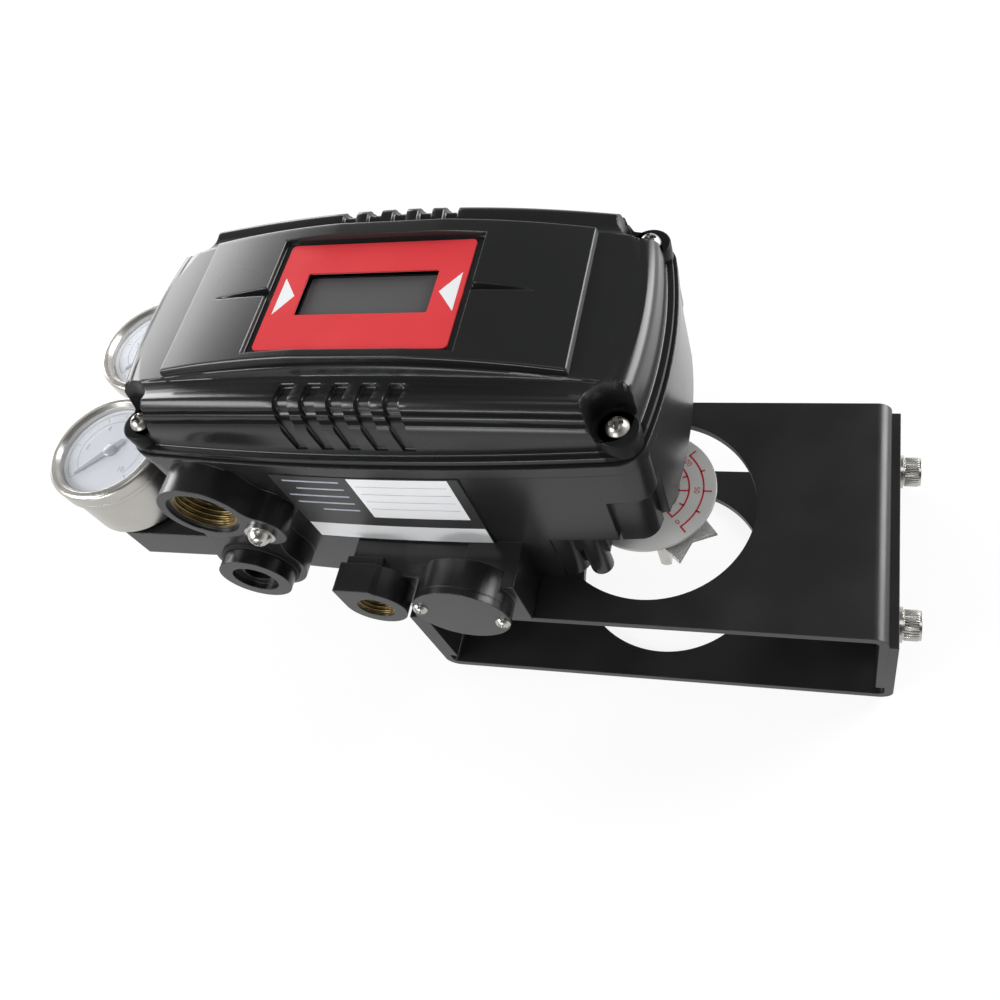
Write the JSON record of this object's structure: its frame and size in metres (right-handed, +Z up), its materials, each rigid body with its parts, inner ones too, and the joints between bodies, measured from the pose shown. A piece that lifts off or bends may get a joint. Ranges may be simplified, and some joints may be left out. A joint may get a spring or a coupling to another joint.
{
  "type": "valve positioner",
  "caption": "Rotary valve positioner: crowned cover with display, deep base with conduit and air ports, round gauges, feedback shaft with dial and pointer, on a two-piece sheet bracket.",
  "frame": {"origin": "centre of the foot bolt pattern, on the lower bracket's underside, on the feedback shaft's axis", "axes": "+X along the housing's length, away from the gauges; +Y away from the conduit side; +Z up along the feedback shaft"},
  "size_m": [0.3081, 0.1185, 0.1482],
  "materials": {
    "housing_black": "satin black powder coat on die-cast aluminium",
    "cover_black": "semi-gloss black paint on die-cast aluminium",
    "bracket_black": "satin black powder coat on bent steel sheet",
    "rubber_black": "moulded rubber",
    "stainless": "bright stainless",
    "gauge_steel": "satin stainless",
    "label_red": "printed polyester film",
    "clear_pane": "clear polycarbonate",
    "lcd_grey": "liquid-crystal display",
    "frame_plastic": "moulded plastic",
    "panel_grey": "moulded plastic",
    "button_grey": "moulded plastic",
    "board_green": "solder mask",
    "terminal_green": "moulded plastic",
    "coil_brown": "varnished winding",
    "valve_alloy": "machined",
    "name_grey": "printed plate",
    "dial_white": "printed",
    "needle_dark": "satin paint",
    "dial_silver": "printed aluminium",
    "brass": "turned",
    "plug_black": "moulded nylon"
  },
  "bodies": {
    "housing": {"base_housing": "housing_black", "front_cover": "cover_black", "cover_gasket": "rubber_black", "cover_screws": "stainless", "display_label": "label_red", "display_window": "clear_pane", "window_gasket": "rubber_black", "lcd_module": "lcd_grey", "display_frame": "frame_plastic", "inner_panel": "panel_grey", "main_board": "board_green", "terminal_block": "terminal_green", "terminal_screws": "stainless", "torque_motor": "coil_brown", "pilot_valve_body": "valve_alloy", "pilot_cap": "housing_black", "pilot_cap_screws": "stainless", "conduit_plug": "plug_black", "conduit_plug_seal": "rubber_black", "ground_screw": "stainless", "ground_washer": "stainless", "nameplate": "name_grey", "gauge_block": "housing_black", "front_gauge_case": "gauge_steel", "front_gauge_bezel": "gauge_steel", "front_gauge_dial": "dial_white", "front_gauge_lens": "clear_pane", "front_gauge_stem": "brass", "back_gauge_case": "gauge_steel", "back_gauge_bezel": "gauge_steel", "back_gauge_dial": "dial_white", "back_gauge_lens": "clear_pane", "back_gauge_stem": "brass", "shaft_bush": "brass", "shaft_seal": "rubber_black", "potentiometer": "frame_plastic", "indicator_dial": "dial_silver", "dial_screws": "stainless", "upper_bracket": "bracket_black", "lower_bracket": "bracket_black", "bracket_screws": "stainless", "bracket_washers": "stainless", "bracket_nuts": "stainless", "base_bolts": "stainless"},
    "shaft": {"feedback_shaft": "stainless", "sector_gear": "brass", "pointer": "stainless", "pointer_screw": "stainless"},
    "potentiometer_spindle": {"pot_pinion": "button_grey"},
    "front_needle": {"front_gauge_needle": "needle_dark"},
    "back_needle": {"back_gauge_needle": "needle_dark"},
    "up_key": {"button_up": "button_grey"},
    "down_key": {"button_down": "button_grey"},
    "enter_key": {"button_enter": "button_grey"},
    "back_key": {"button_back": "button_grey"},
    "spool": {"pilot_spool": "stainless"}
  },
  "joints": [
    {"name": "shaft_turn", "type": "hinge", "parent": "housing", "child": "shaft", "pos_m": [0, 0, 0.08], "axis": [0, 0, 1], "range_deg": [0, 90]},
    {"name": "potentiometer_turn", "type": "hinge", "parent": "housing", "child": "potentiometer_spindle", "pos_m": [-0.02241, 0.0086, 0.094], "axis": [0, 0, 1], "range_deg": [-205, 15]},
    {"name": "front_needle_turn", "type": "hinge", "parent": "housing", "child": "front_needle", "pos_m": [-0.195, -0.0063, 0.082], "axis": [0, 0, -1], "range_deg": [0, 270]},
    {"name": "back_needle_turn", "type": "hinge", "parent": "housing", "child": "back_needle", "pos_m": [-0.195, 0.0414, 0.082], "axis": [0, 0, -1], "range_deg": [0, 270]},
    {"name": "up_key_press", "type": "slide", "parent": "housing", "child": "up_key", "axis": [0, 0, -1], "range_m": [0, 0.001]},
    {"name": "down_key_press", "type": "slide", "parent": "housing", "child": "down_key", "axis": [0, 0, -1], "range_m": [0, 0.001]},
    {"name": "enter_key_press", "type": "slide", "parent": "housing", "child": "enter_key", "axis": [0, 0, -1], "range_m": [0, 0.001]},
    {"name": "back_key_press", "type": "slide", "parent": "housing", "child": "back_key", "axis": [0, 0, -1], "range_m": [0, 0.001]},
    {"name": "spool_slide", "type": "slide", "parent": "housing", "child": "spool", "axis": [0, 1, 0], "range_m": [-0.002, 0.002]}
  ],
  "couplings": [
    {"joint": "potentiometer_turn", "follows": "shaft_turn", "ratio": -2}
  ]
}
